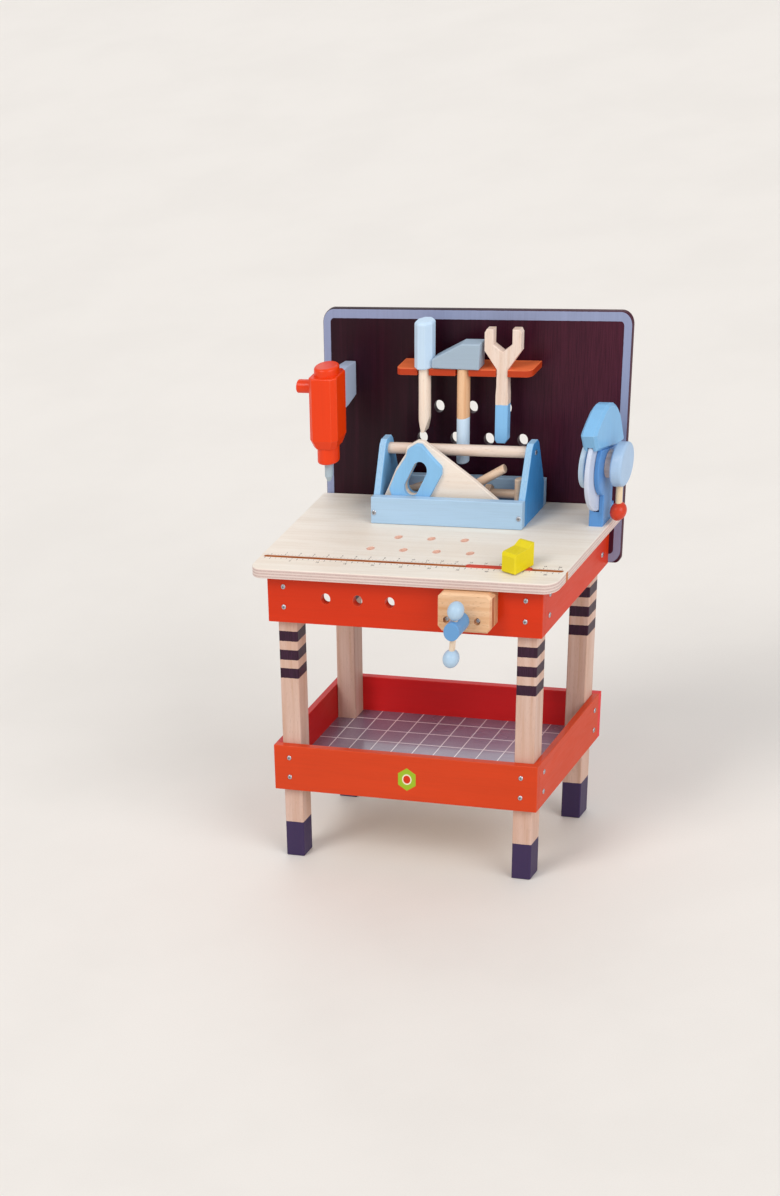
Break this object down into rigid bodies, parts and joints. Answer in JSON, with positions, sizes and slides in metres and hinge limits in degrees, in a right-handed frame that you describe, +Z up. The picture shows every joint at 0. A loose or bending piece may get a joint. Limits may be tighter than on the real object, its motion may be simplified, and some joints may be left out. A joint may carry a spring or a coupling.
{
  "type": "toy tool bench",
  "caption": "Wooden toy workbench with tool board, front vice, hand-cranked bench saw, ruler stop, lower tray, hanging drill and hand tools, and a lift-off toolbox.",
  "frame": {"origin": "on the floor at the centre of the footprint of the four legs", "axes": "+X to the right as seen from the front, the front (vice side) faces -Y, +Z up"},
  "size_m": [0.569, 0.368, 0.76],
  "materials": {
    "rubberwood": "clear satin lacquer, painted feet and bands",
    "red_panel": "red-orange satin paint",
    "birch_ply": "clear matt lacquer",
    "plum_board": "dark plum paint with a lilac border",
    "tray_ply": "printed grid on grey-lilac",
    "steel": "zinc plated",
    "sky_blue": "sky blue satin paint",
    "pale_blue": "pale blue satin paint",
    "mid_blue": "mid blue satin paint",
    "grey_blue": "grey-blue satin paint",
    "warm_wood": "clear satin lacquer",
    "drill_red": "red-orange gloss paint",
    "yellow": "yellow satin paint",
    "ball_red": "red gloss paint",
    "toy_nuts": "bright satin paint"
  },
  "bodies": {
    "bench": {"leg_front_left": "rubberwood", "leg_front_right": "rubberwood", "leg_rear_left": "rubberwood", "leg_rear_right": "rubberwood", "apron_front": "red_panel", "apron_rear": "red_panel", "apron_left": "red_panel", "apron_right": "red_panel", "tray_front": "red_panel", "tray_rear": "red_panel", "tray_left": "red_panel", "tray_right": "red_panel", "tray_floor": "tray_ply", "frame_cleats": "rubberwood", "worktop": "birch_ply", "backboard": "plum_board", "tool_rack": "red_panel", "frame_screws": "steel", "fixing_screws": "steel", "drill_peg": "warm_wood", "vice_fixed_jaw": "warm_wood", "vice_nut_block": "warm_wood", "saw_stand": "sky_blue", "saw_guard": "sky_blue"},
    "vice_jaw": {"vice_moving_jaw": "warm_wood", "vice_guide_rods": "warm_wood", "vice_guide_screws": "steel"},
    "vice_screw": {"vice_spindle": "mid_blue"},
    "vice_handle": {"tommy_bar": "birch_ply", "tommy_balls": "pale_blue"},
    "saw_rotor": {"saw_blade": "pale_blue", "saw_axle": "warm_wood", "saw_disc": "pale_blue", "saw_bosses": "rubberwood", "crank_wheel": "pale_blue", "crank_peg": "warm_wood", "crank_ball": "ball_red"},
    "slide_stop": {"stop_runner": "red_panel"},
    "stop_head": {"stop_block": "yellow"},
    "hammer": {"hammer_head": "grey_blue", "hammer_handle": "sky_blue"},
    "screwdriver": {"screwdriver_handle": "sky_blue", "screwdriver_shaft": "warm_wood"},
    "spanner": {"wrench": "warm_wood"},
    "drill": {"drill_body": "drill_red", "drill_cap": "drill_red", "drill_knob": "drill_red", "drill_handle": "grey_blue"},
    "chuck": {"drill_chuck": "drill_red", "drill_bit": "grey_blue"},
    "toolbox": {"toolbox_ends": "sky_blue", "toolbox_sides": "sky_blue", "toolbox_bottom": "sky_blue", "toolbox_rail": "warm_wood", "toolbox_screws": "steel", "wood_bolts": "warm_wood", "wood_nuts": "toy_nuts"},
    "handsaw": {"handsaw_plate": "rubberwood", "handsaw_cheeks": "sky_blue"}
  },
  "joints": [
    {"name": "vice_jaw_slide", "type": "slide", "parent": "bench", "child": "vice_jaw", "axis": [0, -1, 0], "range_m": [0, 0.04]},
    {"name": "vice_screw_turn", "type": "hinge", "parent": "vice_jaw", "child": "vice_screw", "pos_m": [0.117, -0.2, 0.43], "axis": [0, -1, 0], "range_deg": [0, 1800]},
    {"name": "vice_bar_slide", "type": "slide", "parent": "vice_screw", "child": "vice_handle", "axis": [0.1011, 0, 0.9949], "range_m": [0, 0.017]},
    {"name": "saw_crank", "type": "hinge", "parent": "bench", "child": "saw_rotor", "pos_m": [0.284, 0.071, 0.574], "axis": [1, 0, 0], "continuous": true},
    {"name": "stop_slide", "type": "slide", "parent": "bench", "child": "slide_stop", "axis": [1, 0, 0], "range_m": [-0.362, 0.052]},
    {"name": "stop_swivel", "type": "hinge", "parent": "slide_stop", "child": "stop_head", "pos_m": [0.187, -0.11, 0.49], "axis": [0, 0, 1], "range_deg": [-25, 25]},
    {"name": "hammer_lift", "type": "slide", "parent": "bench", "child": "hammer", "axis": [0, 0, 1], "range_m": [0, 0.15]},
    {"name": "screwdriver_lift", "type": "slide", "parent": "bench", "child": "screwdriver", "axis": [0, 0, 1], "range_m": [0, 0.1]},
    {"name": "spanner_out", "type": "slide", "parent": "bench", "child": "spanner", "axis": [0, -0.8, 0.6], "range_m": [0, 0.045]},
    {"name": "drill_out", "type": "slide", "parent": "bench", "child": "drill", "axis": [0, -1, 0], "range_m": [0, 0.05]},
    {"name": "chuck_turn", "type": "hinge", "parent": "drill", "child": "chuck", "pos_m": [-0.218, 0.051, 0.57], "axis": [0, 0, 1], "continuous": true},
    {"name": "toolbox_out", "type": "slide", "parent": "bench", "child": "toolbox", "axis": [0, -0.866, 0.5], "range_m": [0, 0.16]},
    {"name": "handsaw_lift", "type": "slide", "parent": "toolbox", "child": "handsaw", "axis": [0, 0, 1], "range_m": [0, 0.12]}
  ],
  "couplings": [
    {"joint": "vice_screw_turn", "follows": "vice_jaw_slide", "rad_per_m": 785.39}
  ]
}
